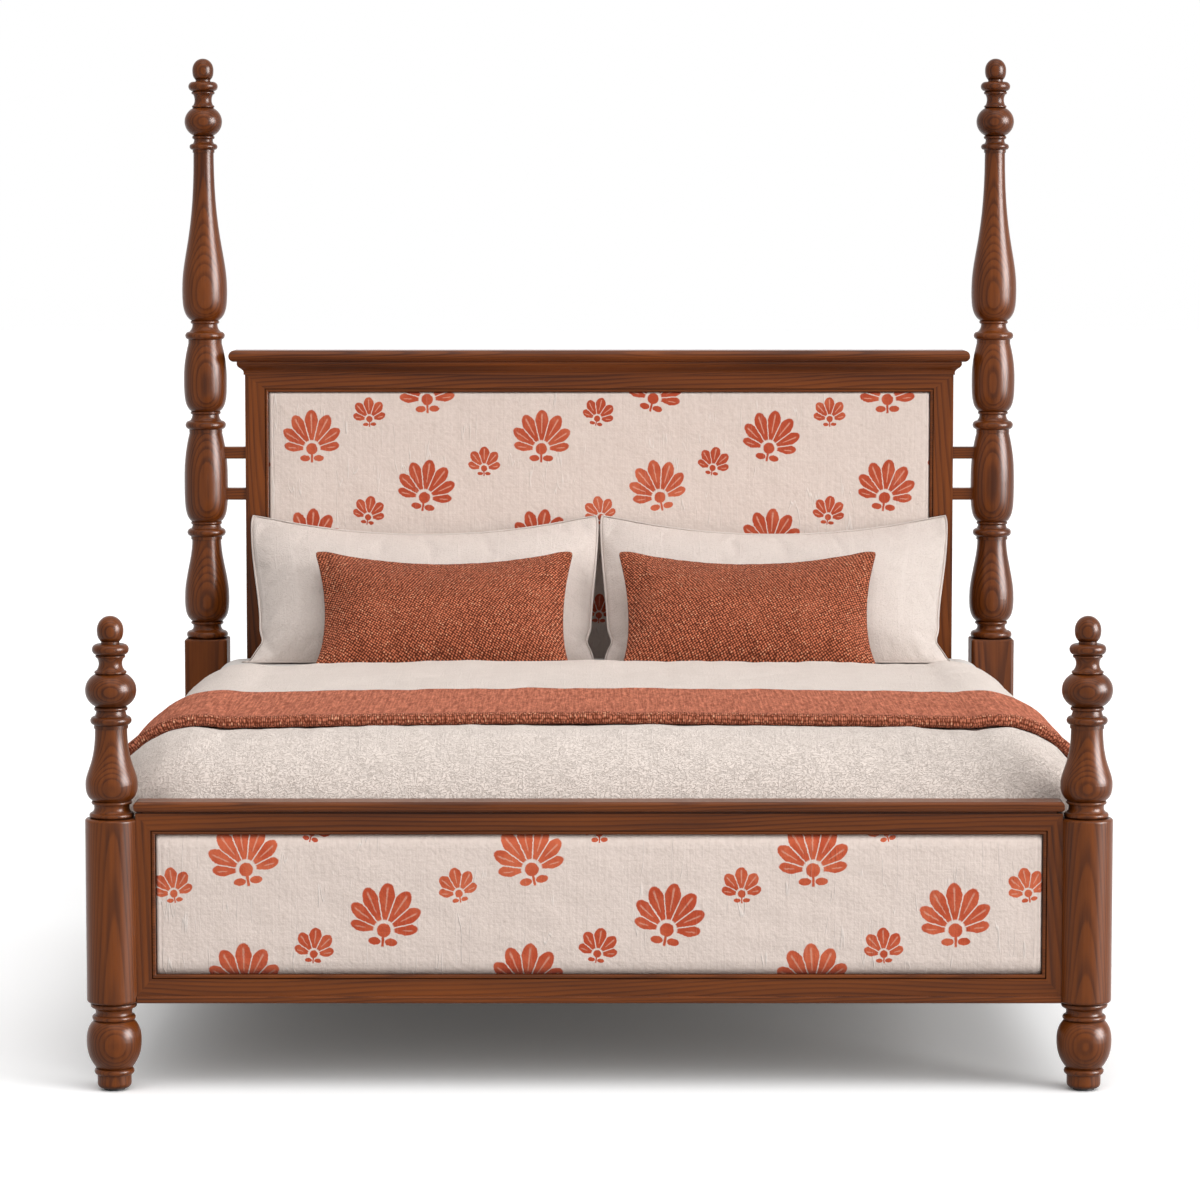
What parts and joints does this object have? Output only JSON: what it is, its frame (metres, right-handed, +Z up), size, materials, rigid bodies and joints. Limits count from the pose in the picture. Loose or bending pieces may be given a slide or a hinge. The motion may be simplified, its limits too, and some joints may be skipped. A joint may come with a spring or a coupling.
{
  "type": "poster bed",
  "caption": "King-size poster bed: turned dark wood posts with finials, an upholstered panelled headboard and footboard, made up with a duvet, throw, pillows and cushions.",
  "frame": {"origin": "on the floor, under the middle of the bed", "axes": "+X to the right seen from the foot of the bed, +Y from the footboard to the headboard, +Z up"},
  "size_m": [2.1136, 2.2633, 2.193],
  "materials": {
    "walnut": "dark red-brown stain, satin lacquer",
    "inner_wood": "plain planed softwood",
    "backing_board": "plain board",
    "steel": "zinc-plated",
    "glide": "black, matte",
    "levelling_foot": "black, matte",
    "printed_linen": "cream linen with a coral block print",
    "duvet_cotton": "cream crinkled cotton",
    "terracotta_throw": "terracotta weave",
    "pillow_cotton": "cream cotton with piped edges",
    "terracotta_cushion": "nubby terracotta weave",
    "mattress_ticking": "pale cotton"
  },
  "bodies": {
    "bed": {"foot_post_left": "walnut", "foot_post_right": "walnut", "head_post_lower_left": "walnut", "head_post_lower_right": "walnut", "head_post_upper_left": "walnut", "head_post_upper_right": "walnut", "headboard_stile_left": "walnut", "headboard_stile_right": "walnut", "footboard_stile_left": "walnut", "footboard_stile_right": "walnut", "headboard_top_rail": "walnut", "headboard_bottom_rail": "walnut", "headboard_bead_strips": "walnut", "footboard_top_rail": "walnut", "footboard_bottom_rail": "walnut", "footboard_bead_strips": "walnut", "link_rail_lower_left": "walnut", "link_rail_lower_right": "walnut", "link_rail_upper_left": "walnut", "link_rail_upper_right": "walnut", "headboard_crown_moulding": "walnut", "headboard_cornice_cap": "walnut", "footboard_cap": "walnut", "footboard_base_moulding": "walnut", "side_rail_left": "walnut", "side_rail_right": "walnut", "head_cross_rail": "inner_wood", "centre_beam": "inner_wood", "slats": "inner_wood", "frame_dowels": "inner_wood", "centre_leg_middle": "inner_wood", "centre_leg_head": "inner_wood", "slat_ledger_left": "inner_wood", "slat_ledger_right": "inner_wood", "headboard_backing_board": "backing_board", "footboard_backing_board": "backing_board", "rail_hook_plates": "steel", "post_slotted_plates": "steel", "ledger_screws": "steel", "head_post_studs": "steel", "beam_hangers": "steel", "floor_glides": "glide", "headboard_pad": "printed_linen", "footboard_pad": "printed_linen", "duvet": "duvet_cotton", "throw": "terracotta_throw", "pillow_left": "pillow_cotton", "pillow_right": "pillow_cotton", "cushion_left": "terracotta_cushion", "cushion_right": "terracotta_cushion", "mattress": "mattress_ticking", "foundation_left": "mattress_ticking", "foundation_right": "mattress_ticking"},
    "foot_finial_left": {"foot_finial_left": "walnut"},
    "foot_finial_right": {"foot_finial_right": "walnut"},
    "head_finial_left": {"head_finial_left": "walnut"},
    "head_finial_right": {"head_finial_right": "walnut"},
    "levelling_foot_middle": {"levelling_foot_middle": "levelling_foot"},
    "levelling_foot_head": {"levelling_foot_head": "levelling_foot"}
  },
  "joints": [
    {"name": "foot_finial_left_lift", "type": "slide", "parent": "bed", "child": "foot_finial_left", "axis": [0, 0, 1], "range_m": [0, 0.06]},
    {"name": "foot_finial_right_lift", "type": "slide", "parent": "bed", "child": "foot_finial_right", "axis": [0, 0, 1], "range_m": [0, 0.06]},
    {"name": "head_finial_left_lift", "type": "slide", "parent": "bed", "child": "head_finial_left", "axis": [0, 0, 1], "range_m": [0, 0.06]},
    {"name": "head_finial_right_lift", "type": "slide", "parent": "bed", "child": "head_finial_right", "axis": [0, 0, 1], "range_m": [0, 0.06]},
    {"name": "levelling_foot_middle_screw", "type": "slide", "parent": "bed", "child": "levelling_foot_middle", "axis": [0, 0, 1], "range_m": [0, 0.02]},
    {"name": "levelling_foot_head_screw", "type": "slide", "parent": "bed", "child": "levelling_foot_head", "axis": [0, 0, 1], "range_m": [0, 0.02]}
  ]
}
